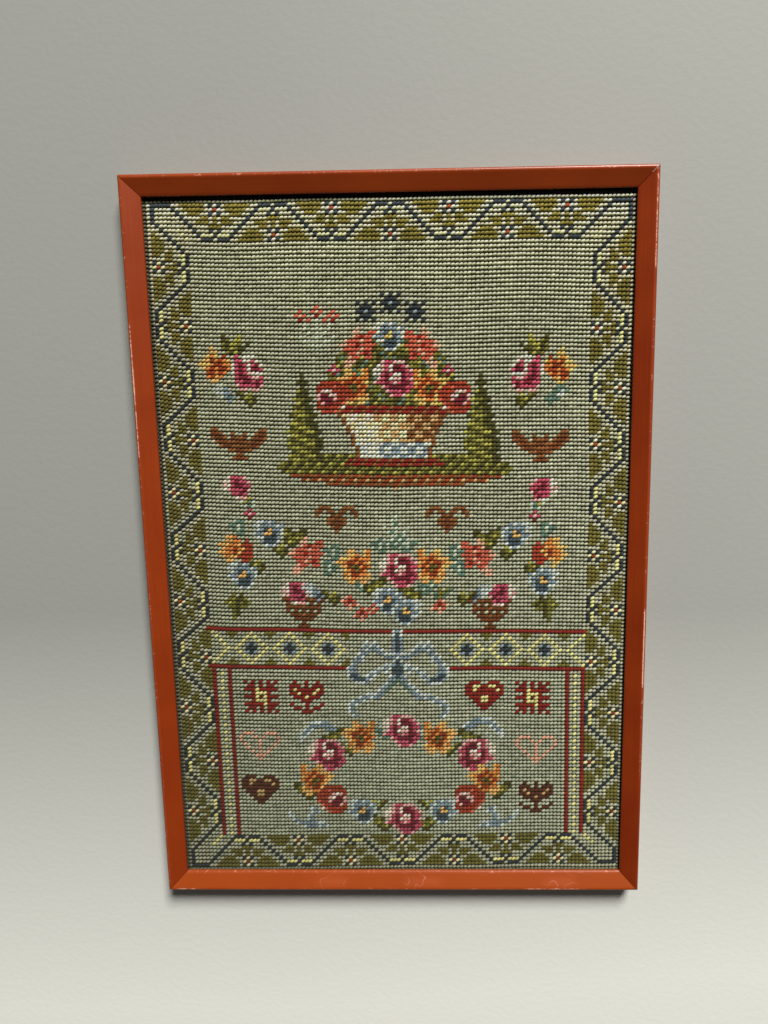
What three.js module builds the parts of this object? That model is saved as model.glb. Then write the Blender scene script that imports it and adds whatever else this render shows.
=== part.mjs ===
// A framed needlepoint picture lying on its back: four mitred wooden rails round one panel of stitched canvas.
// Millimetres, +Z out of the picture's face, +Y towards its top, origin on the surface under its middle.
import * as THREE from "three";

// Outer size of the frame, and the section of its rails.
const frameWidth = 320;
const frameHeight = 466;
const frameDepth = 17;
const railWidth = 12;
const faceSlope = THREE.MathUtils.degToRad(23.5); // the face falls inwards, from the outer edge to the sight edge
const outerRadius = 1.8; // rounding of the outer edge
const sightRadius = 0.5; // rounding of the edge next to the needlepoint
const lipThickness = 1.7; // wood left in front of the rebate, at the sight edge
const rebateWidth = 4;

// The stitched panel, canvas and wool together. Its margin is pressed thinner as it goes under the lip.
const panelThickness = 2.5;
const marginWidth = 6;
const marginDrop = 1.2;

const clearance = 0.3; // between any two pieces

// How finely the curves are faceted.
const arcDivisions = 4;
const flatSteps = 3;
const marginSteps = 4;

// Where the face would meet the upright outer side if the edge between them were sharp.
const outerReach = outerRadius * Math.tan((Math.PI / 2 + faceSlope) / 2);
const outerCentreHeight = frameDepth - outerRadius;
const cornerHeight = outerCentreHeight + outerReach;
const sightHeight = cornerHeight - railWidth * Math.tan(faceSlope);
const sightReach = sightRadius * Math.tan((Math.PI / 2 - faceSlope) / 2);
const lipUnderside = sightHeight - lipThickness;
const legWidth = railWidth - rebateWidth;

const paintedWood = new THREE.MeshStandardMaterial({
  name: "painted wood",
  color: 0x9c4420,
  roughness: 0.45,
  metalness: 0,
});
const woolOnCanvas = new THREE.MeshStandardMaterial({
  name: "wool on canvas",
  color: 0x7d8068,
  roughness: 0.95,
  metalness: 0,
});

// The rail's section, x inwards from the outer side and y up from the back. Each rounded edge is an arc that
// runs into the face without a kink.
function railSection() {
  const section = new THREE.Shape();
  section.moveTo(0, 0);
  section.lineTo(legWidth, 0);
  section.lineTo(legWidth, lipUnderside);
  section.lineTo(railWidth, lipUnderside);
  const faceNormal = Math.PI / 2 - faceSlope;
  section.absarc(railWidth - sightRadius, sightHeight - sightReach, sightRadius, 0, faceNormal, false);
  section.absarc(outerRadius, outerCentreHeight, outerRadius, faceNormal, Math.PI, false);
  section.closePath();
  return section;
}

// A rail along x with its outer side at y = 0 and both ends cut at 45 degrees: the further in a point of the
// section lies, the shorter the rail is there.
function railGeometry(outerLength) {
  const geometry = new THREE.ExtrudeGeometry(railSection(), {
    depth: 1,
    steps: 1,
    curveSegments: arcDivisions,
    bevelEnabled: false,
  });
  const place = geometry.attributes.position;
  for (let i = 0; i < place.count; i++) {
    const inward = place.getX(i);
    const height = place.getY(i);
    const end = place.getZ(i) > 0 ? 1 : -1;
    const reach = outerLength / 2 - inward - clearance / Math.SQRT2;
    place.setXYZ(i, end * reach, inward, height);
  }
  geometry.computeVertexNormals();
  return geometry;
}

// Spreads evenly numbered grid lines from -1 to 1 over the panel: few where it is flat, more in its margins.
function gridPlace(line, half) {
  const flatShare = flatSteps / (flatSteps + marginSteps);
  const size = Math.abs(line);
  const flatHalf = half - marginWidth;
  if (size <= flatShare) return Math.sign(line) * (size / flatShare) * flatHalf;
  const intoMargin = (size - flatShare) / (1 - flatShare);
  return Math.sign(line) * (flatHalf + intoMargin * marginWidth);
}

// How far the panel's face has dropped at a distance from its edge: a quarter of an ellipse over the margin.
function dropNearEdge(edgeDistance) {
  const into = THREE.MathUtils.clamp(1 - edgeDistance / marginWidth, 0, 1);
  return marginDrop * (1 - Math.sqrt(1 - into * into));
}

// The panel's back is flat. Its face lies a clearance below the lip and drops in the margin.
function panelGeometry() {
  const halfWidth = frameWidth / 2 - legWidth - clearance;
  const halfHeight = frameHeight / 2 - legWidth - clearance;
  const top = lipUnderside - clearance;
  const steps = 2 * (flatSteps + marginSteps);
  const geometry = new THREE.BoxGeometry(2, 2, panelThickness, steps, steps, 1);
  const place = geometry.attributes.position;
  for (let i = 0; i < place.count; i++) {
    const x = gridPlace(place.getX(i), halfWidth);
    const y = gridPlace(place.getY(i), halfHeight);
    const edgeDistance = Math.min(halfWidth - Math.abs(x), halfHeight - Math.abs(y));
    const onFace = place.getZ(i) > 0;
    place.setXYZ(i, x, y, onFace ? top - dropNearEdge(edgeDistance) : top - panelThickness);
  }
  geometry.computeVertexNormals();
  return geometry;
}

const picture = new THREE.Group();

// Each rail is turned so that its section faces the middle of the picture.
const rails = [
  { name: "rail_bottom", length: frameWidth, turn: 0, x: 0, y: -frameHeight / 2 },
  { name: "rail_right", length: frameHeight, turn: Math.PI / 2, x: frameWidth / 2, y: 0 },
  { name: "rail_top", length: frameWidth, turn: Math.PI, x: 0, y: frameHeight / 2 },
  { name: "rail_left", length: frameHeight, turn: -Math.PI / 2, x: -frameWidth / 2, y: 0 },
];
for (const { name, length, turn, x, y } of rails) {
  const rail = new THREE.Mesh(railGeometry(length), paintedWood.clone());
  rail.name = name;
  rail.rotation.z = turn;
  rail.position.set(x, y, 0);
  picture.add(rail);
}

const needlepoint = new THREE.Mesh(panelGeometry(), woolOnCanvas);
needlepoint.name = "needlepoint_panel";
picture.add(needlepoint);

export default picture;
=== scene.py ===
# %% [markdown]
# # A framed needlepoint picture
# The real thing is a piece of open canvas that somebody covered, stitch by stitch, with slanted
# wool stitches, and then stretched behind four slim mitred rails painted russet. It lies on its back.
# The look comes from two things: twenty thousand small plump stitches in straight rows, each lit on its
# upper side with a dark gap below, and satin paint that has rubbed through along the edges. So the stitches
# are built as shapes, one by one, and not drawn on a flat sheet.
#
# This first cell loads the measured model as a fixed frame. Every size below is in metres, and the sizes
# that the model already knows are read from it, so that nothing has to be fitted afterwards.

import math

import bmesh
import bpy
import numpy as np
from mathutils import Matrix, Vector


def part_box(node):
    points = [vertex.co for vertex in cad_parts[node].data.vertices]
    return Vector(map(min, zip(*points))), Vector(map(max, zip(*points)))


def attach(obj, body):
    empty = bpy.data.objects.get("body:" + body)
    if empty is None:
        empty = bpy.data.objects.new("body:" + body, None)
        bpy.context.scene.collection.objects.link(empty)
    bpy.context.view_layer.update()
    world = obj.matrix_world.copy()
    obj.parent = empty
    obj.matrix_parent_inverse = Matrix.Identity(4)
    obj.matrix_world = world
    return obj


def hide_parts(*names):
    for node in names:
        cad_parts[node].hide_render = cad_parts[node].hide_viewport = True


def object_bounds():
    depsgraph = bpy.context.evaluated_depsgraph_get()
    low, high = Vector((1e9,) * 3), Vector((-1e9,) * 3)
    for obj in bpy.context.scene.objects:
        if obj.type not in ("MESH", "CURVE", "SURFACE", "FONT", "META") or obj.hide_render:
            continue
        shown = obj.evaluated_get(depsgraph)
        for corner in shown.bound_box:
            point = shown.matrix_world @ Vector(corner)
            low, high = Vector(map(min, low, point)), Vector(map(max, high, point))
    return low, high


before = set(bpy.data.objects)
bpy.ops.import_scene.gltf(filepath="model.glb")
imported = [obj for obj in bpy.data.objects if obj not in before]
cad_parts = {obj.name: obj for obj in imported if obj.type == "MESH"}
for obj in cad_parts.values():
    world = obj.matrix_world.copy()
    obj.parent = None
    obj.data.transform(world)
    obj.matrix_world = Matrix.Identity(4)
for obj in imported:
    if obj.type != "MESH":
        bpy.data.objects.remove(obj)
cad_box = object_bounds()

mm = 0.001
frame_width = cad_box[1][0] - cad_box[0][0]
frame_height = cad_box[1][1] - cad_box[0][1]
rail_low, rail_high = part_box("rail_bottom")
panel_low, panel_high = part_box("needlepoint_panel")
print(f"frame {frame_width / mm:.1f} x {frame_height / mm:.1f} mm, "
      f"panel face at {panel_high[2] / mm:.2f} mm")

# %% [markdown]
# ## Small helpers
# Three habits keep the rest short. Everything is deselected before a new piece starts, because an operator
# works on all that is selected. Faces, edges and corners are picked by their place, as a modeller would
# box-select them. A colour is written as the hex value that a painter's chart gives, and turned to the
# linear light that the renderer adds up. The sockets of maths and colour mixing nodes go by number: in a
# colour mix, 0 is the share, 6 and 7 are the two colours, and output 2 is the mixed one.

# %% Helpers for picking, colour and nodes
def start_fresh():
    if bpy.context.object and bpy.context.object.mode != "OBJECT":
        bpy.ops.object.mode_set(mode="OBJECT")
    bpy.ops.object.select_all(action="DESELECT")


def pick(piece, kind, test):
    """In edit mode, selects only the verts, edges or faces that pass the test, and what they bound."""
    bpy.ops.mesh.select_mode(type={"verts": "VERT", "edges": "EDGE", "faces": "FACE"}[kind])
    bpy.ops.mesh.select_all(action="DESELECT")
    mesh = bmesh.from_edit_mesh(piece.data)
    for part in getattr(mesh, kind):
        if test(part):
            part.select_set(True)
    mesh.select_flush_mode()
    bmesh.update_edit_mesh(piece.data)


def saw(point, facing, **options):
    """In edit mode, cuts the whole piece along a plane through a point."""
    bpy.ops.mesh.select_all(action="SELECT")
    bpy.ops.mesh.bisect(plane_co=point, plane_no=facing, **options)


def leave_edit_mode():
    """Turns all faces outwards first."""
    bpy.ops.mesh.select_all(action="SELECT")
    bpy.ops.mesh.normals_make_consistent(inside=False)
    bpy.ops.object.mode_set(mode="OBJECT")


def vertex_rows(piece, kind="co"):
    """The places, or the normals, of all corners of a piece's mesh, one row each."""
    values = np.empty(len(piece.data.vertices) * 3)
    piece.data.vertices.foreach_get(kind, values)
    return values.reshape(-1, 3)


def put_vertices(piece, rows):
    piece.data.vertices.foreach_set("co", rows.ravel())
    piece.data.update()


def linear(hex_colour):
    """An sRGB hex colour as linear red, green, blue and alpha."""
    parts = [int(hex_colour[i:i + 2], 16) / 255 for i in (1, 3, 5)]
    light = [p / 12.92 if p <= 0.04045 else ((p + 0.055) / 1.055) ** 2.4 for p in parts]
    return (*light, 1.0)


def feed(node, inputs):
    """Sets inputs of a node: each to a plain value, an output socket, or a node's first output."""
    for key, value in inputs.items():
        if isinstance(value, bpy.types.Node):
            value = value.outputs[0]
        if isinstance(value, bpy.types.NodeSocket):
            node.id_data.links.new(value, node.inputs[key])
        else:
            node.inputs[key].default_value = value


def add_node(tree, kind, settings=None, inputs=None):
    """Adds a node with its settings and links."""
    node = tree.nodes.new(kind)
    for key, value in (settings or {}).items():
        setattr(node, key, value)
    feed(node, inputs or {})
    return node


def new_material(name):
    """A material with its tree, its surface shader and the Object coordinates that patterns read."""
    material = bpy.data.materials.new(name)
    material.use_nodes = True
    tree = material.node_tree
    tree.nodes.clear()
    shader = add_node(tree, "ShaderNodeBsdfPrincipled")
    add_node(tree, "ShaderNodeOutputMaterial", inputs={"Surface": shader})
    place = add_node(tree, "ShaderNodeTexCoord").outputs["Object"]
    return material, tree, shader, place


# %% [markdown]
# ## Camera
# The picture was photographed from a little above its middle, almost face on, with a wide phone lens held
# half a metre away. That is why the bottom edge looks shorter than the top one.

# %% Camera
camera_data = bpy.data.cameras.new("camera")
camera_data.lens = 27.04
camera_data.sensor_width = 36
camera_data.shift_x = -0.0431
camera_data.shift_y = -0.0086
camera = bpy.data.objects.new("camera", camera_data)
bpy.context.scene.collection.objects.link(camera)
camera.location = (32.4 * mm, 110.0 * mm, 492.3 * mm)
camera.rotation_euler = [math.radians(turn) for turn in (-9.08, 1.17, -0.80)]
bpy.context.scene.camera = camera
print("camera height", round(camera.location.z / mm), "mm")

# %% [markdown]
# ## Floor and light
# One large soft window-like light stands beyond the top right corner. It rakes the stitches so that each
# row has a lit top and a dark gap, brightens the rail that slopes towards it and leaves the top rail in
# its own shade. A weak pale surround fills the shadows.

# %% Floor, key light and surround
# The table top lies a fifth of a millimetre below the backs of the rails.
start_fresh()
bpy.ops.mesh.primitive_plane_add(size=4, location=(0, 0, -0.2 * mm))
floor = bpy.context.object
floor.name = "floor"
bpy.ops.object.transform_apply(location=True, rotation=False, scale=False)

# Painted light: the floor's colour is paler towards the bottom and to the right, a painted pool of light.
floor_finish, tree, shader, place = new_material("pale_matt_table")
spot = add_node(tree, "ShaderNodeSeparateXYZ", inputs={"Vector": place})
from_top = add_node(tree, "ShaderNodeMapRange", inputs={
    "Value": spot.outputs["Y"], "From Min": -0.04, "From Max": -0.34})
from_left = add_node(tree, "ShaderNodeMapRange", inputs={
    "Value": spot.outputs["X"], "From Min": -0.1, "From Max": 0.3, "To Max": 0.12})
floor_painted_light = add_node(tree, "ShaderNodeMath", {"operation": "ADD", "use_clamp": True}, {
    0: from_top, 1: from_left})
tone = add_node(tree, "ShaderNodeMix", {"data_type": "RGBA"}, {
    0: floor_painted_light, 6: linear("#999c99"), 7: linear("#eaeeea")}).outputs[2]
grain = add_node(tree, "ShaderNodeTexNoise", inputs={"Vector": place, "Scale": 260.0, "Detail": 3.0})
bump = add_node(tree, "ShaderNodeBump", inputs={"Height": grain, "Strength": 0.25, "Distance": 0.5 * mm})
feed(shader, {"Base Color": tone, "Roughness": 0.7, "Normal": bump})
floor.data.materials.append(floor_finish)

light_direction = np.array([0.25, 0.74, 0.62])
light_distance = 6.0
key_data = bpy.data.lights.new("window_light", "AREA")
key_data.shape = "DISK"
key_data.size = 1.9
key_data.energy = 560
key_data.color = linear("#fffaf2")[:3]
key = bpy.data.objects.new("window_light", key_data)
bpy.context.scene.collection.objects.link(key)
key.location = light_direction * light_distance
tilt = math.atan2(math.hypot(light_direction[0], light_direction[1]), light_direction[2])
key.rotation_euler = (0, tilt, math.atan2(light_direction[1], light_direction[0]))

surround = bpy.data.worlds.new("pale_room")
surround.use_nodes = True
feed(surround.node_tree.nodes["Background"], {"Color": linear("#f5efe2"), "Strength": 0.06})
bpy.context.scene.world = surround
bpy.context.scene.view_settings.view_transform = "Standard"
print("light stands", round(math.degrees(tilt)), "degrees off the upright")

# %% [markdown]
# ## The rails
# A frame maker runs one length of moulding past a shaped cutter and then mitres four pieces from it. The
# modelling follows that: a bar, a lip drawn out of its inner side in front of the rebate, a face that falls
# towards the picture, an arris rounded over, and both ends sawn off at 45 degrees. Cutting the bar into
# short lengths afterwards gives the edge enough corners to be dented where the paint is worn.

# %% Sizes of the moulding
rail_width = rail_high[1] - rail_low[1]
rebate_width = 4 * mm
leg_width = rail_width - rebate_width
slope = math.radians(23.5)
outer_radius = 1.8 * mm
sight_radius = 0.5 * mm
lip_thickness = 1.7 * mm
mitre_gap = 0.3 * mm
length_step = 2.4 * mm
face_lines = [line * mm for line in (3.2, 4.6, 6.0, 7.4, 8.8, 10.2)]
arris_reach = outer_radius * math.tan((math.pi / 2 + slope) / 2)
sight_reach = sight_radius * math.tan((math.pi / 2 - slope) / 2)
corner_height = cad_box[1][2] - outer_radius + arris_reach
sight_height = corner_height - rail_width * math.tan(slope)
lip_underside = sight_height - lip_thickness
eased_reach = 0.4 * mm
print(f"lip from {lip_underside / mm:.2f} to {sight_height / mm:.2f} mm")


# %% One rail, modelled along X with its outer side on the X axis
def model_rail(name, length, turn, place):
    start_fresh()
    bpy.ops.mesh.primitive_cube_add(size=1, location=(0, leg_width / 2, corner_height / 2))
    rail = bpy.context.object
    rail.name = name
    rail.scale = (length, leg_width, corner_height)
    bpy.ops.object.transform_apply(location=True, rotation=False, scale=True)
    bpy.ops.object.mode_set(mode="EDIT")
    near = 0.01 * mm  # two places closer than this are the same

    # The lip: the upper part of the inner side is drawn out over the rebate.
    saw((0, 0, lip_underside), (0, 0, 1))
    pick(rail, "faces", lambda f: f.normal.y > 0.9 and f.calc_center_median().z > lip_underside)
    bpy.ops.mesh.extrude_region_move(TRANSFORM_OT_translate={"value": (0, rebate_width, 0)})

    # The face falls towards the picture.
    for inward in (leg_width, rail_width):
        pick(rail, "verts", lambda v: v.co.z > corner_height - near and abs(v.co.y - inward) < near)
        bpy.ops.transform.translate(value=(0, 0, -inward * math.tan(slope)))

    # Two edges are rounded over, and the back arris is eased. Columns: place of the edge, reach, segments.
    def long_edge(y, z):
        def test(edge):
            a, b = (v.co for v in edge.verts)
            return (abs(a.x - b.x) > length / 2
                    and all(abs(p.y - y) < near and abs(p.z - z) < near for p in (a, b)))
        return test
    for y, z, offset, segments in (
            (0, corner_height, arris_reach, 10),
            (rail_width, sight_height, sight_reach, 3),
            (0, 0, eased_reach, 2)):
        pick(rail, "edges", long_edge(y, z))
        bpy.ops.mesh.bevel(offset_type="OFFSET", offset=offset, segments=segments, profile=0.5,
                           affect="EDGES")

    # A few lines along the face, so that its wear can stop short of its edges.
    for inward in face_lines:
        saw((0, inward, 0), (0, 1, 0))

    # Both ends are sawn off at 45 degrees.
    half = length / 2 - mitre_gap / math.sqrt(2)
    for end in (-1, 1):
        saw((end * half, 0, 0), (end, 1, 0), use_fill=True, clear_outer=True)

    # Short lengths, so that the arris can be dented.
    pick(rail, "edges", lambda e: abs(e.verts[0].co.x - e.verts[1].co.x) > length / 2)
    bpy.ops.mesh.subdivide(number_cuts=round(length / length_step))
    leave_edit_mode()

    # A map that follows the rail, so that brush marks can run along it.
    co = vertex_rows(rail)
    corner = np.empty(len(rail.data.loops), dtype=np.int32)
    rail.data.loops.foreach_get("vertex_index", corner)
    grain_map = rail.data.uv_layers.new(name="along_rail")
    grain_map.data.foreach_set("uv", np.column_stack([co[:, 0], co[:, 1] - co[:, 2]])[corner].ravel())

    rail.rotation_euler.z = turn
    rail.location = place
    bpy.ops.object.transform_apply(location=True, rotation=True, scale=True)
    bpy.ops.object.shade_smooth_by_angle(angle=math.radians(28))
    return rail


# %% Four rails, each in the place of its node
rails = {}
for side, length, turn, place in (
        ("bottom", frame_width, 0.0, (0, -frame_height / 2, 0)),
        ("right", frame_height, math.pi / 2, (frame_width / 2, 0, 0)),
        ("top", frame_width, math.pi, (0, frame_height / 2, 0)),
        ("left", frame_height, -math.pi / 2, (-frame_width / 2, 0, 0))):
    rails[side] = model_rail(f"{side}_moulding", length, turn, place)
print("rails have", sum(len(rail.data.polygons) for rail in rails.values()), "faces")

# %% [markdown]
# ## Wear
# Paint goes first where hands and walls touch it: on the outer arris, at the tips of the mitres and along
# the sight edge. Each worn stretch is a row in a small table. The corners of the mesh there get a number
# from 0 to 1, which the paint reads, and the deepest are pushed in a little, as a real chip is.

# %% Worn stretches of each rail
# Columns: rail, edge, from and to along the rail in mm, how worn.
# The long, light stretches along nearly a whole edge are partly rubbed paint and partly a painted highlight
# where the rounded edge catches the light.
worn_stretches = [
    ("right", "arris", -92, -32, 0.95),
    ("right", "arris", -150, 170, 0.4),
    ("right", "arris", 170, 233, 0.7),
    ("left", "arris", 60, 150, 0.75),
    ("left", "arris", 95, 125, 0.95),
    ("left", "arris", -233, 233, 0.4),
    ("left", "arris", 226, 233, 1.0),
    ("top", "arris", 95, 160, 0.55),
    ("top", "arris", 152, 160, 1.0),
    ("top", "arris", -160, 100, 0.4),
    ("top", "arris", -160, -154, 1.0),
    ("bottom", "sight", -150, 150, 0.42),
    ("bottom", "arris", -160, -135, 0.7),
    ("bottom", "arris", -120, 80, 0.35),
    ("bottom", "arris", 80, 125, 0.7),
    ("bottom", "face", -60, -35, 0.3),
    ("bottom", "face", 0, 30, 0.35),
    ("bottom", "face", 95, 120, 0.35),
]
# Painted light: each rail's coat is mixed by a set share towards a paler tone, the bottom rail most and the
# top next, for how the light falls on each side.
side_painted_light = {"top": 0.2, "bottom": 0.42, "left": 0.08, "right": 0.0}
# How far in from the outer side each kind of wear lies, and how far it spreads.
edge_middle = {"arris": 1.4 * mm, "face": 6.0 * mm, "sight": rail_width - 0.2 * mm}
edge_spread = {"arris": 0.55 * mm, "face": 3.0 * mm, "sight": 0.4 * mm}
wear_ramp = 6 * mm
chip_depth = 0.12 * mm


def wear_rail(side, rail):
    """Marks where a rail's paint is worn and dents it there. Returns the strongest wear."""
    co = vertex_rows(rail)
    normal = vertex_rows(rail, "normal")
    if side in ("top", "bottom"):
        along, inward = co[:, 0], frame_height / 2 - np.abs(co[:, 1])
    else:
        along, inward = co[:, 1], frame_width / 2 - np.abs(co[:, 0])
    front = co[:, 2] > lip_underside
    worn = np.zeros(len(co))
    for rail_side, edge, start, stop, strength in worn_stretches:
        if rail_side != side:
            continue
        along_share = np.clip((along - start * mm) / wear_ramp, 0, 1)
        along_share *= np.clip((stop * mm - along) / wear_ramp, 0, 1)
        off = (inward - edge_middle[edge]) / edge_spread[edge]
        worn = np.maximum(worn, strength * along_share * np.exp(-off ** 2) * front)
    # The "pale" attribute carries each side's painted light.
    for name, values in (("worn", worn), ("pale", np.full(len(co), side_painted_light[side]))):
        rail.data.attributes.new(name, "FLOAT", "POINT").data.foreach_set("value", values)
    put_vertices(rail, co - normal * (worn ** 2 * chip_depth)[:, None])
    return worn.max()


for side, rail in rails.items():
    print(side, "rail worn to", round(float(wear_rail(side, rail)), 2))

# %% [markdown]
# ## Satin russet paint
# An oil or acrylic paint brushed on primed softwood. It gives a soft streaky sheen that follows the brush
# along the rail, slightly darker where the coat is thick, with pale pinkish primer where it has rubbed
# through. The layers are mixed in this order: coat, brush marks, a paler tone on each side that is painted
# light, rubbing that is partly a painted highlight, and chips.

# %% The paint
paint, tree, shader, place = new_material("satin_russet_paint")
rail_map = add_node(tree, "ShaderNodeUVMap", {"uv_map": "along_rail"})
# Brush marks are a millimetre wide and some eight centimetres long.
brush_stretch = add_node(tree, "ShaderNodeMapping", inputs={
    "Vector": rail_map, "Scale": (12.0, 900.0, 1.0)})
noises = {}
for name, pattern_place, scale, detail in (("brush", brush_stretch, 1.0, 3.0), ("cloud", place, 22.0, 4.0),
                                           ("fine", place, 620.0, 3.0), ("swirl", place, 90.0, 1.0)):
    noises[name] = add_node(tree, "ShaderNodeTexNoise", inputs={
        "Vector": pattern_place, "Scale": scale, "Detail": detail})
cloud_share = add_node(tree, "ShaderNodeMapRange", inputs={
    "Value": noises["cloud"], "From Min": 0.35, "From Max": 0.65})
brush_share = add_node(tree, "ShaderNodeMapRange", inputs={
    "Value": noises["brush"], "From Min": 0.35, "From Max": 0.7, "To Max": 0.35})
# The pale share is painted light, set for each side of the frame.
pale = add_node(tree, "ShaderNodeAttribute", {"attribute_name": "pale"}).outputs["Fac"]
worn = add_node(tree, "ShaderNodeAttribute", {"attribute_name": "worn"}).outputs["Fac"]
# The rubbed tone is partly worn paint and partly a painted highlight along the edges.
rubbed_and_highlit = add_node(tree, "ShaderNodeMath", {"operation": "MULTIPLY"}, {0: worn, 1: 0.45})
chance = add_node(tree, "ShaderNodeMath", {"operation": "ADD"}, {0: worn, 1: noises["fine"]})
chip = add_node(tree, "ShaderNodeMapRange", inputs={
    "Value": chance, "From Min": 1.05, "From Max": 1.2})
# Scratches are thin level lines of a slow noise, and show only where the paint is worn.
scratch = add_node(tree, "ShaderNodeMath", {"operation": "COMPARE"}, {
    0: noises["swirl"], 1: 0.5, 2: 0.006})
scratch = add_node(tree, "ShaderNodeMath", {"operation": "MULTIPLY"}, {0: scratch, 1: worn})
bare = add_node(tree, "ShaderNodeMath", {"operation": "MAXIMUM"}, {0: chip, 1: scratch})
coat = linear("#842c08")
for share, colour in ((cloud_share, "#92360a"), (brush_share, "#6f2106"), (pale, "#ae5216"),
                      (rubbed_and_highlit, "#d06a48"), (bare, "#e8b49c")):
    coat = add_node(tree, "ShaderNodeMix", {"data_type": "RGBA"}, {
        0: share, 6: coat, 7: linear(colour)}).outputs[2]
bump = add_node(tree, "ShaderNodeBump", inputs={
    "Height": noises["brush"], "Strength": 0.25, "Distance": 0.1 * mm})
bump = add_node(tree, "ShaderNodeBump", inputs={
    "Height": noises["fine"], "Strength": 0.12, "Distance": 0.1 * mm, "Normal": bump})
feed(shader, {"Base Color": coat, "Roughness": 0.33, "IOR": 1.5, "Normal": bump})
for rail in rails.values():
    rail.data.materials.append(paint)
print("paint has", len(tree.nodes), "nodes")

# %% [markdown]
# ## The canvas
# Needlepoint canvas is woven from pairs of stiff cotton threads, ten pairs to the inch. The wool pulled it a
# little narrower, and it is stretched flat behind the lip. It shows only deep between the stitches, so a
# thin closed sheet with a thread pattern is enough, coloured much darker than tan cotton as painted shade.
# Its margin is pressed thinner under the lip, as the measured model has it.

# %% Layers of the panel and how the margin is pressed
panel_width = panel_high[0] - panel_low[0]
panel_length = panel_high[1] - panel_low[1]
panel_thickness = panel_high[2] - panel_low[2]
margin_width = 6 * mm
margin_drop = 1.2 * mm
canvas_back = panel_low[2] + 0.45 * mm
canvas_face = canvas_back + 0.5 * mm


def pressed(points):
    """Squashes points of the panel towards its back where they come near its edge."""
    edge = np.minimum(panel_width / 2 - np.abs(points[:, 0]), panel_length / 2 - np.abs(points[:, 1]))
    into = np.clip(1 - edge / margin_width, 0, 1)
    drop = margin_drop * (1 - np.sqrt(1 - into ** 2))
    back = panel_low[2]
    points[:, 2] = back + (points[:, 2] - back) * (panel_thickness - drop) / panel_thickness
    return points


def puckered(points):
    """A small unevenness of the stretched cloth, a tenth of a millimetre over a few centimetres."""
    x, y = points[:, 0] / mm, points[:, 1] / mm
    wave = np.sin(x / 17 + 1.2 * np.sin(y / 41)) + np.sin(y / 13 + 0.8 * np.sin(x / 29) + 2)
    points[:, 2] += 0.03 * mm * wave
    return points


# %% The canvas sheet
start_fresh()
bpy.ops.mesh.primitive_grid_add(x_subdivisions=44, y_subdivisions=64, size=1,
                                location=(0, 0, canvas_face))
canvas = bpy.context.object
canvas.name = "needlepoint_canvas"
canvas.scale = (panel_width, panel_length, 1)
bpy.ops.object.transform_apply(location=True, rotation=False, scale=True)
solidify = canvas.modifiers.new("thickness", "SOLIDIFY")
solidify.thickness = canvas_face - canvas_back
solidify.offset = -1
bpy.ops.object.modifier_apply(modifier="thickness")
put_vertices(canvas, puckered(pressed(vertex_rows(canvas))))
bpy.ops.object.shade_smooth_by_angle(angle=math.radians(40))
print("canvas has", len(canvas.data.polygons), "faces")

# %% [markdown]
# ## The chart
# A needlepoint worker reads a chart: a grid with one square for each stitch and a letter or sign for each
# wool. The picture below is 117 stitches across and 173 down. Small motifs are drawn as blocks of
# letters, a dot leaving the ground as it is, and then worked at their places. Rules, bars, diamonds and the
# border are regular, so loops count them out as a stitcher does.

# %% Wools
wool_colours = {
    "g": "#b7bba9",  # sage ground
    "l": "#b9baa8",  # light sage of the border
    "o": "#746c31",  # olive
    "n": "#2c3746",  # navy
    "y": "#f2e8a2",  # pale yellow
    "c": "#f0e4bc",  # cream
    "r": "#8c1a18",  # dark red
    "R": "#a83a26",  # brick red
    "q": "#8c3a24",  # brick
    "w": "#fbeae4",  # near-white pink
    "p": "#eeb3b6",  # light pink
    "P": "#c64e70",  # rose
    "B": "#7a1832",  # burgundy
    "a": "#f4bd76",  # amber
    "A": "#de8743",  # orange
    "b": "#9c3a18",  # rust
    "s": "#d2dde6",  # pale blue-grey
    "S": "#8a9db2",  # slate blue
    "N": "#415363",  # dark slate
    "m": "#f0b29f",  # light coral
    "M": "#cf6250",  # coral
    "v": "#7b7834",  # leaf
    "V": "#4c4a20",  # dark leaf
    "u": "#b0ac54",  # yellow-green
    "t": "#c4d0c4",  # pale grey-green
    "T": "#68877e",  # teal
    "k": "#8d5730",  # brown
    "j": "#743c1c",  # chestnut
    "K": "#5a261e",  # dark brown
    "h": "#cda878",  # tan
}
chart_columns = 117
chart_rows = 173
chart = np.full((chart_rows, chart_columns), "g")
middle = chart_columns // 2
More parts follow.
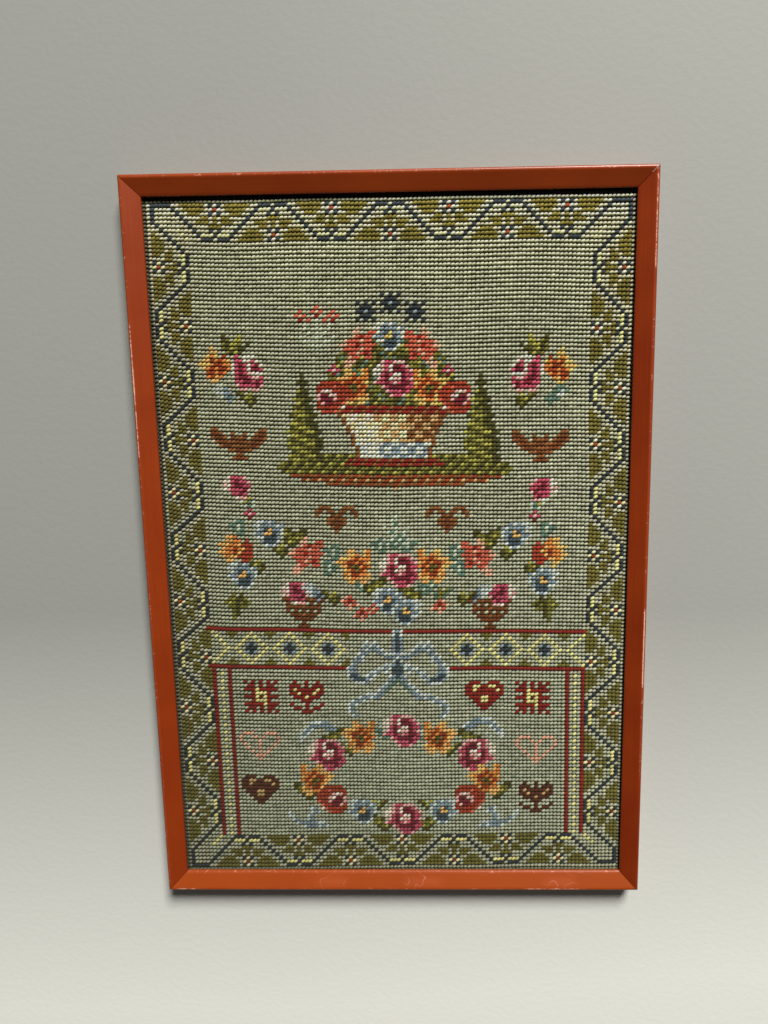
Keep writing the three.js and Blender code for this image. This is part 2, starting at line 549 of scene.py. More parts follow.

# %% Small motifs, drawn as blocks of letters
motifs = {
    "rose": """
    .P.www..
    .PPwwPw.
    wPBPwPBw
    wPBPwBBP
    wPBPpwww
    .PBBPppP
    .PPBBPBP
    .pPPPPBp
    ..pp.pp.""",
    "full_rose": """
    ..pPPppp..
    .wpPwBBPp.
    wwpPwBBBPp
    wwPBPwwBPP
    .pPBwppBPp
    pPPBPpPBBP
    ..pPBBBBPP
    ...pPPPBP.
    ....pPPp..""",
    "poppy": """
    ..RRRRR.
    .RRMRRRR
    RRRRpwpR
    RRRpwBBp
    MRRpBBBp
    .MRRBBpR
    .wMRRRRR
    ...MRRR.""",
    "small_rose": """
    .wPPPp.
    wwPBPPp
    pwPBBPP
    wpPPPBp
    ..PPBP.
    ...wpp.""",
    "bud": """
    .P.
    PpP
    .B.""",
    "lily": """
    ...a....
    ...aa...
    ..aAa.b.
    .aabAbAa
    aaaAbbAA
    .aAbAbbA
    ..bbAbA.
    ..AbaA..
    ...aa...""",
    "open_lily": """
    ...aa..aA
    ...aaA.aA
    .aaaAbAAA
    aaAbbAbAa
    .aaboVAbA
    ..aAbobA.
    ..AabbAAa
    ..aaAAaaa
    ...aa.aa.""",
    "two_tone_lily": """
    ..aaA....
    ..aaAA.R.
    aaaAAaRRR
    .aAAbAaRR
    aaAAbaRRR
    .aAaaRRRR
    ..aa..RR.
    ...a.....""",
    "star_lily": """
    ....m....
    ...mm..MM
    ...mMrMMM
    .mMMMmMM.
    mmMMrMMMM
    .MMMMmMM.
    ..MMmMrM.
    ..mMM.MM.
    .mmm.....
    .mm......""",
    "blue": """
    .ssSsS..
    ssSSSSsS
    .sSNaSSs
    sSSaaNSs
    .ssNNNS.
    ..SNNNs.
    ...sSs..""",
    "leaf": """
    VV....
    VvvV..
    .vuvvV
    ..VvuV
    ...VV.""",
    "leaf_tips": """
    .V...u..
    .Vv.uu..
    .vVuuv.V
    .vVuvVV.
    ..vVuV..""",
    "slate_leaf": """
    .tt...
    tstS..
    .ssSS.
    ..tSTS
    ....S.""",
    "teal_leaf": """
    .tTT
    TTtT
    .TtT
    ..TT""",
    "low_leaf": """
    Vv.u.
    .VuvV
    ..VvV
    ...V.""",
    "stem": """
    ..v.V..
    .vvVVv.
    vuvVvVv
    .vvVvv.
    ..vV...
    ..vV...
    ..v....""",
    "spray": """
    ...t...
    ..tt...
    ..tT...
    t..tt.t
    .tTt.t.
    ..ttTt.
    t.tTt.t
    .tTtTt.
    ..TTt..""",
    "curl": """
    ...sssSS....
    ..sSSSSSSs..
    .sSs...SSSs.
    sSs......SSS
    ss..t.......
    s..t........""",
    "low_curl": """
    ......sS....
    s.....sSs...
    ss...sS.....
    .sS..sS.....
    ..sSSSSSss..
    ....sSSSsSs.""",
    "coral_bud": """
    .mM..
    mMrM.
    .MmMm
    ..m..""",
    "coral_stem": """
    .....M.....
    .M..MmM..M.
    MmM..r..MmM
    .r.M.t.M.r.
    ..t..t..t..
    ..t..tt.t..
    ...t.t.t...
    .t..ttt..t.
    ..tt.t.tt..
    ....ttt....
    .....t.....""",
    "basket": """
    jjjkjjjkjjj
    .jgjgjgjgj.
    .kjjjkjjjk.
    .jgjgjgjgj.
    ..jjjkjjj..
    ...jjjjj...
    .....j.....
    ....jjj....""",
    "acorn_spray": """
    kk..........kk
    jjk..k..k..kjj
    kjjk.jkkj.kjjk
    .kjjkkjjkkjjk.
    ..kjjkkkkjjk..
    ....kkjjkk....
    ......kk......
    .....kjjk.....""",
    "small_spray": """
    .kkk...kkk.
    kj.kk.kk.jk
    k...jkj...k
    ...kkjkk...
    ...kjjjk...
    ....kjk....
    .....k.....""",
    "flake": """
    r.r.r.r.r
    .rr.r.rr.
    rrryrrrrr
    ..ryyyr..
    rrryKyrrr
    ..ryyyr..
    rrrrryrrr
    .rr.r.rr.
    r.r.r.r.r""",
    "tulip": """
    .r..r..r..
    rrr.r.rrr.
    ryrrrrryr.
    rryrrryrr.
    .rrryrrr..
    ...rrr....
    r...r...r.
    .rr.r.rr..
    ...rrr....""",
    "heart": """
    .rrr..rrr.
    rryyrryyrr
    rryrrrrryr
    rrrrrrrrrr
    .rrryyrrr.
    ..rryyrr..
    ...rrrr...
    ....rr....""",
    "drawn_heart": """
    .ppp...ppp.
    p...p.p...p
    p....p....p
    .p...p...p.
    ..p..p..p..
    ...p.p.p...
    ....ppp....
    .....p.....""",
    "half_bow": """
    ............sS
    ............sN
    ............SN
    .....s.s....SN
    ....sSsSs...SN
    ....SsSSSs..SN
    ...sSS..SSsssS
    ..sSs.....SSSs
    ..SSs.......sN
    .sS.......ssSN
    sSS.....ssSsNN
    sSS...ssS.s.NN
    sNNS.sSs...sSN
    .SNNNSs....SST
    ..sssS....sST.
    .........sST..
    ........sST...
    .....sssSS....
    ...sSSsSS.....
    .sSSs.........
    sSs...........
    sT............
    sS............
    .sS...........""",
    "little_flake": """
    n.n.n
    .nnn.
    nnSnn
    .nnn.
    n.n.n""",
}
print(len(motifs), "motifs")


# %% How a motif is worked at its place
def chart_lines(drawing):
    return [line.strip() for line in drawing.strip().splitlines()]


def work(name, column, row, mirrored, swap):
    """Works a motif with its middle at a chart place. swap is pairs of letters, old and new."""
    lines = chart_lines(motifs[name])
    height, width = len(lines), max(len(line) for line in lines)
    top = round(row - height / 2 + 0.5)
    left = round(column - width / 2 + 0.5)
    change = dict(zip(swap[::2], swap[1::2]))
    for down, line in enumerate(lines):
        for right, letter in enumerate(line):
            if letter != ".":
                across = width - 1 - right if mirrored else right
                chart[top + down, left + across] = change.get(letter, letter)


def work_all(table):
    """Columns: motif, places as drawn, mirrored places, letters swapped. A place is a column and a row."""
    for name, drawn, mirrored, *swap in table:
        for column, row in drawn:
            work(name, column, row, False, "".join(swap))
        for column, row in mirrored:
            work(name, column, row, True, "".join(swap))


# %% The border: a navy line that swings between two crests, with a flower in each bay
crest_half = 4
swing = 14
first_crest = 16
outer_depth, inner_depth = 2, 8


def side_cell(side, along, depth):
    return {
        "top": (depth, along),
        "bottom": (chart_rows - 1 - depth, along),
        "left": (along, depth),
        "right": (along, chart_columns - 1 - depth),
    }[side]


def work_side(side, length, inner_crests):
    def put(along, depth, letter):
        if 0 <= along < length:
            chart[side_cell(side, along, depth)] = letter

    def work_crest(along, distance, depth, beyond):
        put(along, depth, "n" if distance in (0, crest_half) else "y")
        if 0 < distance < crest_half:
            put(along, depth + beyond, "n")
        if distance == 1:
            put(along, depth - beyond, "n")

    outer_crests = [(a + b) // 2 for a, b in zip(inner_crests, inner_crests[1:])]
    bays = ((inner_crests, outer_depth, 1), (outer_crests, inner_depth, -1))
    # Columns: steps from the flower's row towards the line, from and to each side of its middle.
    for step, near_offset, far_offset in ((-1, 3, 8), (0, 3, 7), (1, 4, 6), (1, 1, 1), (2, 0, 0),
                                          (2, 2, 3), (3, 0, 0), (3, 2, 4), (4, 0, 1)):
        for flowers, depth, inwards in bays:
            for flower in flowers:
                for offset in range(near_offset, far_offset + 1):
                    put(flower + offset, depth + inwards * step, "o")
                    put(flower - offset, depth + inwards * step, "o")

    for along in range(crest_half + 2, length - crest_half - 2):
        from_inner = min(abs(along - crest) for crest in inner_crests)
        from_outer = min(abs(along - crest) for crest in outer_crests)
        if from_inner <= crest_half:
            work_crest(along, from_inner, inner_depth, 1)
        elif from_outer <= crest_half:
            work_crest(along, from_outer, outer_depth, -1)
        else:
            put(along, inner_depth + crest_half - from_inner, "n")
    for flowers, depth, inwards in bays:
        for flower in flowers:
            for letter, steps in (("q", ((0, 0),)), ("c", ((0, -1), (0, 1), (-1, 0), (1, 0))),
                                  ("n", ((-1, -1), (-1, 1), (1, -1), (1, 1)))):
                for along, down in steps:
                    put(flower + along, depth + down, letter)
    # The line ends in a straight piece at each corner.
    for step in range(1, crest_half + 2):
        put(step, 1, "n")
        put(length - 1 - step, 1, "n")


border_depth = inner_depth + 2
chart[:] = "l"
chart[border_depth:-border_depth, border_depth:-border_depth] = "g"
for side, length in (("top", chart_columns), ("bottom", chart_columns),
                     ("left", chart_rows), ("right", chart_rows)):
    work_side(side, length, list(range(first_crest, length, 2 * swing)))
# A short yellow diagonal closes each inner corner.
for depth in range(inner_depth - 1, border_depth):
    for row in (depth, chart_rows - 1 - depth):
        for column in (depth, chart_columns - 1 - depth):
            chart[row, column] = "y"
print("stitches in the border:", int((chart != "g").sum()))

# %% The band of diamonds between two red rules, and the bars down both sides
rule_rows = (106, 116)
band_middle = sum(rule_rows) // 2
left_end, right_end = 9, 106
bow_left, bow_right = 46, 71
for row in rule_rows:
    for column in range(left_end, right_end + 1):
        if row == rule_rows[0] or not bow_left <= column <= bow_right:
            chart[row, column] = "r"
chart[rule_rows[0] + 1:rule_rows[1], left_end + 1:right_end + 1] = "g"
diamond_half = 4
for centre in (10, 20, 30, 40, 76, 86, 96, 106):
    for down in range(-diamond_half, diamond_half + 1):
        for across in range(-diamond_half, diamond_half + 1):
            column = centre + across
            if not left_end < column <= right_end:
                continue
            if abs(across) + abs(down) == diamond_half:
                chart[band_middle + down, column] = "y"
            whole = left_end + diamond_half < centre < right_end
            if whole and max(abs(across), abs(down)) <= 1:
                chart[band_middle + down, column] = "S" if across and down else "n"
    # Small olive wedges fill the gaps between two diamonds, above and below.
    for turn in (-1, 1):
        for across, down in ((4, 4), (5, 4), (6, 4), (5, 3)):
            column = centre + across
            if left_end < column < right_end and not bow_left <= column <= bow_right:
                chart[band_middle + turn * down, column] = "o"
bar_top, bar_foot = rule_rows[1] + 1, 163
for first, dots, last in ((10, 12, 14), (102, 104, 106)):
    chart[bar_top:bar_foot, first:last + 1] = "g"
    chart[bar_top:bar_foot, [first, last]] = "r"
    chart[bar_top + 1:bar_foot:2, dots] = "y"

# %% A mound with two small trees, and a dome of leaves, in mixed wools
def mixed(wools, across, down):
    """Picks one of several wools, so that neighbours differ."""
    return wools[(across + down) % len(wools)]


def mound_wool(column, row):
    return mixed("vVvuVv" if row <= mound_row + 1 else "bkkbkh", 2 * column, 5 * row)


def leaf_wool(column, row):
    return mixed("vVuvTVvV", 3 * column, 5 * row + column * row % 3)


def fill_oval(middle_row, half_width, half_height, rows, wool):
    """Fills the rows of an oval that stands on the chart's middle column."""
    for row in rows:
        for column in range(middle - half_width, middle + half_width + 1):
            if ((column - middle) / half_width) ** 2 + ((row - middle_row) / half_height) ** 2 <= 1:
                chart[row, column] = wool(column, row)


mound_row, mound_foot = 64, 69
fill_oval(mound_row, 29, 5, range(mound_row - 3, mound_foot + 1), mound_wool)
tree_top, tree_foot, tree_offset = 41, 63, 22
tree_tier, tree_reach = 4, 4
for tree_column in (middle - tree_offset, middle + tree_offset):
    for row in range(tree_top, tree_foot):
        reach = min((row - tree_top + 2) // tree_tier, tree_reach) - (row % tree_tier == 0)
        for across in range(-reach, reach + 1):
            in_shade = across > reach - 2
            chart[row, tree_column + across] = "V" if in_shade else mixed("uvvVvu", 7 * across, 4 * row)
basket_top, basket_foot = 49, 63
dome_half, dome_height = 17, 19
fill_oval(basket_top, dome_half, dome_height, range(basket_top - dome_height - 1, basket_top), leaf_wool)

# %% The cane basket and its flowers
rim_half, foot_half = 14, 9
pale_rows = 5
for row in range(basket_top, basket_foot):
    share = (row - basket_top) / (basket_foot - basket_top)
    half = round(rim_half - (rim_half - foot_half) * math.sin(share * math.pi / 2))
    for column in range(middle - half, middle + half + 1):
        cane = ((column - middle) // 2 + (row - basket_top) // 2) % 2
        third = min(2, (column - middle + half) * 3 // (2 * half))
        cane_pair = ("wc", "ch", "hk")[third] if row < basket_foot - pale_rows else ("ws", "sS", "sS")[third]
        chart[row, column] = "k" if abs(column - middle) == half else cane_pair[cane]
for row, half in ((basket_top, 15), (basket_top + 1, 15), (basket_foot - 1, 11), (basket_foot, 12)):
    for column in range(middle - half, middle + half + 1):
        chart[row, column] = mixed("rrk", column, row)
work_all([
    ("full_rose", [(58, 42)], []),
    ("open_lily", [(48, 44)], [(68, 44)]),
    ("star_lily", [(50, 35)], [(66, 35)]),
    ("blue", [(58, 32)], []),
    ("poppy", [(73, 46.5)], [(43, 46.5)]),
    ("bud", [(44, 40)], [(72, 40)]),
])

# %% Bow, sprigs, garland, wreath and the small motifs
# The bow is drawn as its left half, and worked again mirrored. The halves share the middle column.
work_all([
    ("half_bow", [(51.5, 117.5)], [(64.5, 117.5)]),
    ("leaf_tips", [(20, 34)], [(94, 34)]),
    ("lily", [(14.5, 39)], [(99.5, 39)]),
    ("rose", [(22.5, 41)], [(91.5, 41)]),
    ("slate_leaf", [(16.5, 46)], []),
    ("slate_leaf", [], [(98, 46)], "STtT"),
    ("low_leaf", [(22.5, 47.5)], [(91, 47.5)]),
    ("coral_stem", [(40, 30)], []),
    ("acorn_spray", [(19.5, 58.5), (95, 58.5)], []),
    ("small_spray", [(43, 77), (71, 77)], []),
    ("low_leaf", [(20, 73)], [(94, 73)], "VtvT"),
    ("small_rose", [(18, 69.5)], [(95.5, 69.5)]),
    ("bud", [(21.4, 76), (92.5, 76)], []),
    ("teal_leaf", [(17.5, 79)], [(96.5, 79)]),
    ("leaf", [(31, 81)], [(83, 81)]),
    ("low_leaf", [(28, 86)], [(87, 86)]),
    ("blue", [(25.5, 81)], [(88.5, 81)]),
    ("low_leaf", [(21.5, 89)], [(93, 89)]),
    ("two_tone_lily", [(17, 85.5)], [(97, 85.5)]),
    ("blue", [(18.5, 92)], [(95.5, 93)]),
    ("stem", [(17, 100)], [(96.3, 100)]),
    ("leaf", [(81, 82)], [(33, 82)]),
    ("star_lily", [(35, 86.5)], [(79.3, 86.5)]),
    ("teal_leaf", [(41, 85.5), (73, 90), (53, 84)], [(42, 90), (73.5, 86), (62, 84)]),
    ("spray", [(58, 80)], []),
    ("teal_leaf", [(48.5, 94)], []),
    ("leaf", [], [(53, 94)]),
    ("leaf", [(61.5, 96)], []),
    ("leaf", [], [(66, 94)], "VTvTut"),
    ("open_lily", [(47, 89)], [(67.5, 89)]),
    ("low_leaf", [], [(69.5, 96.5)], "VTuv"),
    ("blue", [(56, 98)], [(60.5, 101)]),
    ("full_rose", [(58, 90)], []),
    ("coral_bud", [(46, 98.5)], [(49, 101), (69, 100)]),
    ("bud", [(52, 100)], [], "PMpmBM"),
    ("basket", [(34, 101.5), (82, 101.5)], []),
    ("small_rose", [(32, 96)], [(85, 96)]),
    ("slate_leaf", [(37, 96)], [(79.5, 96)], "tsTN"),
    ("low_leaf", [(41, 97)], [(75.5, 97)]),
    ("curl", [(37, 133.5)], [(79, 132.5)]),
    ("low_curl", [(33.5, 157.5)], [(83.5, 157.5)]),
    ("leaf", [(76, 135)], [(41, 135)]),
    ("low_leaf", [(44, 138.5)], [(72, 138.5)]),
    ("teal_leaf", [(53, 133)], [(64.5, 133)]),
    ("leaf", [(32.5, 150.5)], [(84, 150.5)]),
    ("low_leaf", [(65, 154.5)], [(52.5, 154.5)]),
    ("leaf", [(52, 159)], [(65.5, 159)]),
    ("full_rose", [(59, 133)], []),
    ("open_lily", [(47.3, 135)], [(68.8, 135)]),
    ("full_rose", [(38.5, 140)], [(78, 140)]),
    ("open_lily", [(79.8, 147)], [(36, 147)]),
    ("blue", [(47, 156)], [(69.5, 156)]),
    ("poppy", [(40, 152.5)], [(76.2, 152.5)]),
    ("full_rose", [(58.5, 157.5)], []),
    ("flake", [(21.5, 123.5), (93, 124.5)], []),
    ("tulip", [(34.5, 123.5)], []),
    ("heart", [(80, 124)], []),
    ("drawn_heart", [(21, 137.5), (94, 138.5)], [], "pm"),
    ("heart", [(21, 150)], [], "rKyh"),
    ("tulip", [(94.5, 152)], [], "rKyh"),
    ("little_flake", [(52, 26), (58, 24), (64, 26)], []),
])
print("chart worked,", len(np.unique(chart)), "wools used")

# %% [markdown]
# ## One stitch
# A tent stitch is a short length of wool laid over one crossing of the canvas, from lower left to upper
# right. It comes up out of one hole, swells over the crossing and goes down into the next. It is modelled
# once, with few faces, because there are more than twenty thousand of them: a half cylinder whose ends are
# drawn in and dip into the cloth.

# %% Model one stitch lying along X, its underside at height zero
stitch_half_width = 1.12 * mm
stitch_half_body = 1.22 * mm
stitch_tip = 0.60 * mm
stitch_height = 1.45 * mm
stitch_end_width, stitch_end_height = 0.70, 0.62  # as shares of the middle's
stitch_dip = 0.25 * mm
cylinder_sides = 10
flat_top = math.cos(math.pi / cylinder_sides)  # height of the topmost side, as a share of the radius


def model_stitch():
    start_fresh()
    bpy.ops.mesh.primitive_cylinder_add(vertices=cylinder_sides, radius=stitch_half_width,
                                        depth=2 * stitch_half_body, end_fill_type="TRIFAN",
                                        rotation=(0, math.pi / 2, 0))
    stitch = bpy.context.object
    stitch.name = "one_stitch"
    bpy.ops.object.transform_apply(location=False, rotation=True, scale=False)
    bpy.ops.object.mode_set(mode="EDIT")
    near = 0.02 * mm
    saw((0, 0, 0), (0, 0, 1), use_fill=True, clear_inner=True, threshold=0.01 * mm)
    pick(stitch, "edges", lambda e: abs(e.verts[0].co.x - e.verts[1].co.x) > stitch_half_body)
    bpy.ops.mesh.subdivide(number_cuts=1)
    bpy.ops.mesh.select_all(action="SELECT")
    bpy.ops.transform.resize(value=(1, 1, stitch_height / (stitch_half_width * flat_top)))
    # The ends are drawn in, and their tips reach out and down into the cloth.
    pick(stitch, "verts", lambda v: abs(abs(v.co.x) - stitch_half_body) < near)
    bpy.ops.transform.resize(value=(1, stitch_end_width, stitch_end_height), center_override=(0, 0, 0))
    for end in (-1, 1):
        pick(stitch, "verts", lambda v: v.co.x * end > stitch_half_body - near and abs(v.co.y) < near
             and v.co.z < near)
        bpy.ops.transform.translate(value=(end * stitch_tip, 0, -stitch_dip))
    bpy.ops.mesh.select_all(action="SELECT")
    bpy.ops.mesh.quads_convert_to_tris()
    leave_edit_mode()
    return stitch


float_size = (2.7 * mm, 1.25 * mm, -0.35 * mm)


def model_float():
    """One run of wool across the back: longer, flatter and plainer than a stitch, with its top downwards."""
    start_fresh()
    bpy.ops.mesh.primitive_cone_add(vertices=4, radius1=1, radius2=0, depth=1, end_fill_type="TRIFAN")
    back_float = bpy.context.object
    back_float.name = "one_float"
    bpy.ops.object.mode_set(mode="EDIT")
    bpy.ops.mesh.select_all(action="SELECT")
    bpy.ops.transform.resize(value=float_size)
    leave_edit_mode()
    return back_float


def take_shape(piece):
    """The piece's corners and triangles as arrays, after which the piece itself isn't needed."""
    co = np.array([v.co[:] for v in piece.data.vertices])
    triangles = np.array([p.vertices[:] for p in piece.data.polygons])
    bpy.data.objects.remove(piece, do_unlink=True)
    return co, triangles


stitch_shape, stitch_triangles = take_shape(model_stitch())
float_shape, float_triangles = take_shape(model_float())
print("a stitch has", len(stitch_triangles), "triangles, a float", len(float_triangles))

# %% [markdown]
# ## Where each stitch lies
# The rows aren't straight. Slanted stitches pull canvas out of square, and it was stretched back by eye, so
# the rows climb a little to the left and sink near the right edge. Each stitch also has its own slant, swell
# and shade, and each needleful of wool its own tone over a dozen stitches of a row.

# %% Places, slants and shades of all stitches
random = np.random.default_rng(41)
pitch_across = 2.53 * mm
pitch_down = 2.547 * mm
middle_row = chart_rows // 2
stitch_lean = math.radians(25)
motif_lean = math.radians(33)
columns_all, rows_all = np.meshgrid(np.arange(-1, chart_columns + 1), np.arange(-1, chart_rows + 1))
columns_all, rows_all = columns_all.ravel(), rows_all.ravel()
count = len(columns_all)


def pull(across, up):
    """How far a stitch has been pulled out of the even grid, in metres to the right and up.

    across and up run from -1 to 1 over the chart. The factors are millimetres.
    """
    to_left, to_right = np.maximum(-across, 0), np.maximum(across, 0)
    middle_share = 1 - up ** 2
    rise = middle_share * (4.4 * to_left + 4.4 * to_left ** 8 - 1.3 * to_right - 2.4 * to_right ** 6)
    rise += 0.65 * across - 1.2 * across * up - 0.25 * up ** 2 - 1.1
    rise += 0.2 * np.sin(9.1 * across + 4 * up) + 0.15 * np.sin(12 * across - 7 * up)
    # The upright rows sway a little. Columns: place from the foot, -1, to the top, 1, and sway in mm.
    sway_places = np.array([(-1, 0.3), (-0.4, -0.3), (0.0, 0.2), (0.2, 0.9), (0.4, -0.5), (0.6, -0.6),
                            (0.75, 0.2), (1, 1.0)])
    sway = np.interp(up, sway_places[:, 0], sway_places[:, 1]) - 0.4 * across * up
    return sway * mm, rise * mm


across_all = (columns_all - middle) / (chart_columns / 2)
up_all = (middle_row - rows_all) / (chart_rows / 2)
sway_all, rise_all = pull(across_all, up_all)
stitch_x = (columns_all - middle) * pitch_across + sway_all
stitch_y = (middle_row - rows_all) * pitch_down + rise_all
stitch_x += random.normal(0, 0.05, count) * mm
stitch_y += random.normal(0, 0.05, count) * mm

# The chart with one more stitch of the border's ground all round, under the lip.
worked = np.full((chart_rows + 2, chart_columns + 2), "l")
worked[1:-1, 1:-1] = chart
wool_letters = worked.ravel()
palette = {letter: np.array(linear(colour)[:3]) for letter, colour in wool_colours.items()}
stitch_colour = np.array([palette[letter] for letter in wool_letters])

# How many stitches a needleful covers, and how far left of the row above each row changes wool.
needleful = 13
row_shift = 5
tones = random.normal(0, 0.05, (chart_rows + 2, chart_columns // needleful + 2))
needleful_number = (columns_all + 1 + rows_all * row_shift % needleful) // needleful
shade = 1 + tones[rows_all + 1, needleful_number] + random.normal(0, 0.09, count)
# Painted light: the wool is made brighter towards the top, most in its top rows, and a little towards the
# right, and low down its tone is greener.
painted_light_gradient = 1.16 + 0.31 * up_all + 0.13 * across_all + 0.95 * np.maximum(up_all, 0) ** 8
painted_light_gradient = painted_light_gradient[:, None] * (1 + np.outer(up_all, (0.05, 0.0, 0.04)))
stitch_colour = np.clip(stitch_colour * shade[:, None] * painted_light_gradient, 0, 1)
is_ground = np.isin(wool_letters, ["g", "l"])
print(count, "stitches of", len(palette), "wools")


# %% Join many copies of one shape into one mesh
def join_copies(name, shape, triangles, chosen, lean, size, height, base, colours):
    """size is each copy's length and width, and height its swell, as shares of the shape's own."""
    number = len(chosen)
    local = shape[None, :, :] * np.stack([size[chosen], size[chosen], height[chosen]], axis=1)[:, None, :]
    cos, sin = np.cos(lean[chosen])[:, None], np.sin(lean[chosen])[:, None]
    points = np.empty((number, len(shape), 3))
    points[..., 0] = stitch_x[chosen][:, None] + local[..., 0] * cos - local[..., 1] * sin
    points[..., 1] = stitch_y[chosen][:, None] + local[..., 0] * sin + local[..., 1] * cos
    points[..., 2] = base + local[..., 2]
    points = puckered(pressed(points.reshape(-1, 3)))
    corners = (triangles[None, :, :] + len(shape) * np.arange(number)[:, None, None]).reshape(-1, 3)
    mesh = bpy.data.meshes.new(name)
    mesh.from_pydata(points, [], corners)
    mesh.polygons.foreach_set("use_smooth", np.ones(len(corners), dtype=bool))
    wool = mesh.attributes.new("wool", "FLOAT_COLOR", "POINT")
    rgba = np.ones((number, len(shape), 4))
    rgba[..., :3] = colours[chosen][:, None, :]
    wool.data.foreach_set("color", rgba.ravel())
    mesh.update()
    piece = bpy.data.objects.new(name, mesh)
    bpy.context.scene.collection.objects.link(piece)
    return piece


def unroll_stitches(piece, number, shape, triangles):
    """Gives each stitch its own cell of the map, its top unrolled below and its underside flat above."""
    margin, top_share, underside, underside_share = 0.04, 0.78, 0.86, 0.12
    just_below = 0.1 * mm  # the top is unrolled about a line this far below the lowest corner
    along = (shape[:, 0] / np.abs(shape[:, 0]).max() + 1) / 2
    around = np.arctan2(shape[:, 2] - shape[:, 2].min() + just_below, shape[:, 1]) / math.pi
    sideways = (shape[:, 1] / stitch_half_width + 1) / 2
    flat = np.empty((len(triangles), 3, 2))
    for index, triangle in enumerate(triangles):
        a, b, c = shape[triangle]
        faces_down = np.cross(b - a, c - a)[2] < 0
        v = underside + underside_share * sideways if faces_down else margin + top_share * around
        flat[index] = np.column_stack([margin + (1 - 2 * margin) * along, v])[triangle]
    cells_across = math.ceil(math.sqrt(number))
    cell = 1 / cells_across
    place = np.arange(number)
    origin = np.column_stack([place % cells_across, place // cells_across]) * cell
    uv = origin[:, None, None, :] + flat[None] * cell
    piece.data.uv_layers.new(name="OFBake").data.foreach_set("uv", uv.reshape(-1, 2).ravel())


# %% The stitches, in four pieces of every fourth row, and the floats behind them
row_groups = 4
lean_all = np.where(is_ground, stitch_lean, motif_lean) + np.radians(random.normal(0, 3.5, count))
# Motifs were worked a little fuller than the ground, and the dark red and yellow lines fuller still.
is_line = np.isin(wool_letters, ["r", "y"])
size_all = np.select([is_ground, is_line], [1.0, 1.14], 1.1) + random.normal(0, 0.05, count)
height_all = np.clip(1 + random.normal(0, 0.07, count), 0.85, 1.0)
stitch_pieces = []
for group in range(row_groups):
    chosen = np.flatnonzero((rows_all + 1) % row_groups == group)
    piece = join_copies(f"wool_stitches_{group + 1}", stitch_shape, stitch_triangles, chosen,
                        lean_all, size_all, height_all, canvas_face, stitch_colour)
    unroll_stitches(piece, len(chosen), stitch_shape, stitch_triangles)
    stitch_pieces.append(piece)
# Behind, the wool slants the other way, and more steeply. It is a little darker there.
float_lean = math.pi - stitch_lean * 1.5 + np.radians(random.normal(0, 5, count))
back_floats = join_copies("wool_floats_behind", float_shape, float_triangles, np.arange(count),
                          float_lean, size_all, height_all, canvas_back - 0.2 * mm, stitch_colour * 0.85)
faces_added = sum(len(piece.data.polygons) for piece in (*stitch_pieces, back_floats))
print("triangles in wool:", faces_added)

# %% [markdown]
# ## Wool and canvas
# Tapestry wool is spun from long fibres, several strands laid side by side. It is matt with a soft sheen of
# fine hairs. Shade is painted darker deep between the stitches, on the lower side of each stitch and under
# the lips. The strands are drawn slightly coarser than real, so that they show. Canvas is plain stiff
# cotton.

# %% The wool
wool, tree, shader, place = new_material("tapestry_wool")
dye = add_node(tree, "ShaderNodeAttribute", {"attribute_name": "wool"}).outputs["Color"]
position = add_node(tree, "ShaderNodeSeparateXYZ", inputs={"Vector": place})
# Painted shade: the lower the wool lies, deep between the stitches, the more it is mixed towards near black.
painted_depth_shade = add_node(tree, "ShaderNodeMapRange", inputs={
    "Value": position.outputs["Z"], "From Min": canvas_face, "From Max": canvas_face + 1.25 * mm,
    "To Min": 0.65, "To Max": 0.0})
along_strands = add_node(tree, "ShaderNodeMapping", {"vector_type": "TEXTURE"}, {
    "Vector": place, "Rotation": (0, 0, stitch_lean), "Scale": (3.5, 1.0, 1.0)})
strands = add_node(tree, "ShaderNodeTexNoise", inputs={
    "Vector": along_strands, "Scale": 3200.0, "Detail": 2.0})
strand_share = add_node(tree, "ShaderNodeMapRange", inputs={
    "Value": strands, "From Min": 0.3, "From Max": 0.7, "To Max": 0.22})
# Painted shade: the side of each stitch that faces away from the top, where the light comes from, is
# multiplied towards a deeper, more olive tone.
facing = add_node(tree, "ShaderNodeTexCoord").outputs["Normal"]
facing_up = add_node(tree, "ShaderNodeSeparateXYZ", inputs={"Vector": facing}).outputs["Y"]
painted_lower_shade = add_node(tree, "ShaderNodeMapRange", inputs={
    "Value": facing_up, "From Min": 0.7, "From Max": -0.5})
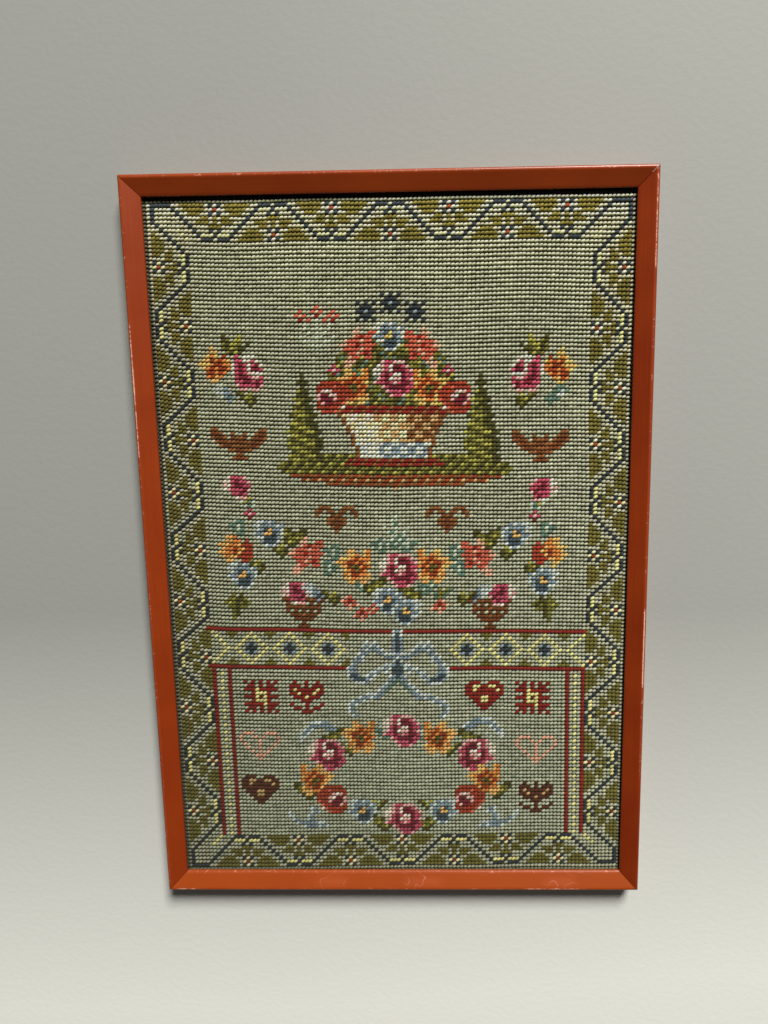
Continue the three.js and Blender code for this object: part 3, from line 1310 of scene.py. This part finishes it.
# Painted shadow under the lips: a strip of wool along each rail is mixed towards near black. Columns: axis,
# side of the middle, width of the dark strip, strength.
painted_lip_shadow = 0.0
for axis, side, reach, strength in (("Y", 1, 2.9 * mm, 0.97), ("X", -1, 1.9 * mm, 0.8),
                                    ("X", 1, 1.2 * mm, 0.6), ("Y", -1, 1.0 * mm, 0.5)):
    strip_start = (frame_height if axis == "Y" else frame_width) / 2 - rail_width - reach
    strip = add_node(tree, "ShaderNodeMapRange", inputs={
        "Value": position.outputs[axis], "From Min": side * (strip_start - 0.5 * mm),
        "From Max": side * (strip_start + 0.5 * mm), "To Max": strength})
    painted_lip_shadow = add_node(tree, "ShaderNodeMath", {"operation": "MAXIMUM"}, {0: painted_lip_shadow, 1: strip})
tone = dye
for share, blend, colour in ((painted_depth_shade, "MIX", "#161504"), (strand_share, "MIX", "#282912"),
                             (painted_lower_shade, "MULTIPLY", "#a3ab6c"), (painted_lip_shadow, "MIX", "#090502")):
    tone = add_node(tree, "ShaderNodeMix", {"data_type": "RGBA", "blend_type": blend}, {
        0: share, 6: tone, 7: linear(colour)}).outputs[2]
bump = add_node(tree, "ShaderNodeBump", inputs={"Height": strands, "Strength": 0.6, "Distance": 0.12 * mm})
feed(shader, {"Base Color": tone, "Roughness": 0.85, "Specular IOR Level": 0.25, "Sheen Weight": 0.2,
              "Sheen Tint": linear("#d6cfa8"), "Sheen Roughness": 0.5, "Normal": bump})
for piece in (*stitch_pieces, back_floats):
    piece.data.materials.append(wool)
print("wool has", len(tree.nodes), "nodes")

# %% The canvas threads
cotton, tree, shader, place = new_material("double_thread_cotton_canvas")
# Threads lie in pairs, so one wave takes half a pitch. At scale 1 a wave is 2 pi / 20 long.
threads = []
for direction, pitch in (("X", pitch_across), ("Y", pitch_down)):
    bands = add_node(tree, "ShaderNodeTexWave", {"bands_direction": direction}, {
        "Vector": place, "Scale": 2 * math.pi / (20 * pitch / 2), "Distortion": 0.5})
    threads.append(bands.outputs["Fac"])
weave = add_node(tree, "ShaderNodeMath", {"operation": "MAXIMUM"}, {0: threads[0], 1: threads[1]})
# Painted shade: the threads are coloured near black and dark olive, much darker than tan cotton, so that the
# gaps between stitches read dark.
tone = add_node(tree, "ShaderNodeMix", {"data_type": "RGBA"}, {
    0: weave, 6: linear("#0c0903"), 7: linear("#332c16")}).outputs[2]
bump = add_node(tree, "ShaderNodeBump", inputs={"Height": weave, "Strength": 0.6, "Distance": 0.3 * mm})
feed(shader, {"Base Color": tone, "Roughness": 0.9, "Normal": bump})
canvas.data.materials.append(cotton)

# %% [markdown]
# ## What each piece stands for
# Every piece rides on the one rigid body and takes the place of a node.

for side, rail in rails.items():
    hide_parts(f"rail_{side}")
    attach(rail, "root")
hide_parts("needlepoint_panel")
for piece in (canvas, *stitch_pieces, back_floats):
    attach(piece, "root")
